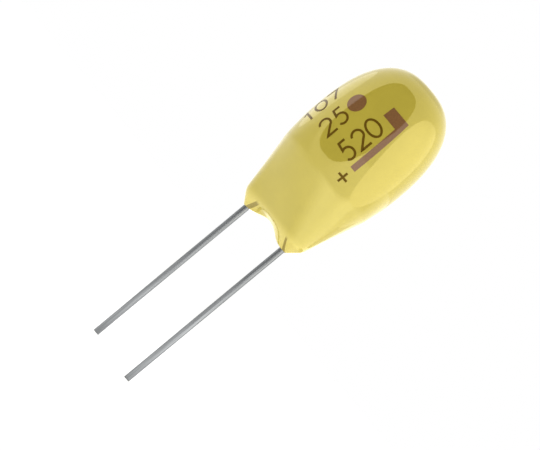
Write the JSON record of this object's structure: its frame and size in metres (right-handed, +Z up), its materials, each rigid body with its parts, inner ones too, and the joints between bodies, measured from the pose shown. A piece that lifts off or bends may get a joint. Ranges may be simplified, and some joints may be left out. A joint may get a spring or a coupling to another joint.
{
  "type": "tantalum capacitor",
  "caption": "Radial dipped tantalum bead capacitor: a glossy yellow epoxy body, round above and flattened at its feet, on straight tinned wire leads.",
  "frame": {"origin": "on the seating plane where the leads leave the epoxy, midway between them", "axes": "+Z up the body away from the leads, +X towards the positive lead, -Y towards the marked face"},
  "size_m": [0.0092, 0.0092, 0.0307],
  "materials": {
    "yellow_epoxy": "gloss",
    "tinned_wire": "satin",
    "bar_ink": "satin",
    "mark_ink": "satin",
    "sintered_tantalum": "matte",
    "tantalum_wire": "satin",
    "ptfe": "matte",
    "manganese_dioxide": "matte",
    "graphite": "matte",
    "silver_paint": "satin",
    "solder": "satin"
  },
  "bodies": {
    "root": {"epoxy_coat": "yellow_epoxy", "positive_lead": "tinned_wire", "negative_lead": "tinned_wire", "polarity_bar": "bar_ink", "polarity_plus": "mark_ink", "anode_pellet": "sintered_tantalum", "riser_wire": "tantalum_wire", "insulating_washer": "ptfe", "manganese_dioxide_coat": "manganese_dioxide", "graphite_coat": "graphite", "silver_coat": "silver_paint", "solder_fillet": "solder"}
  },
  "joints": []
}
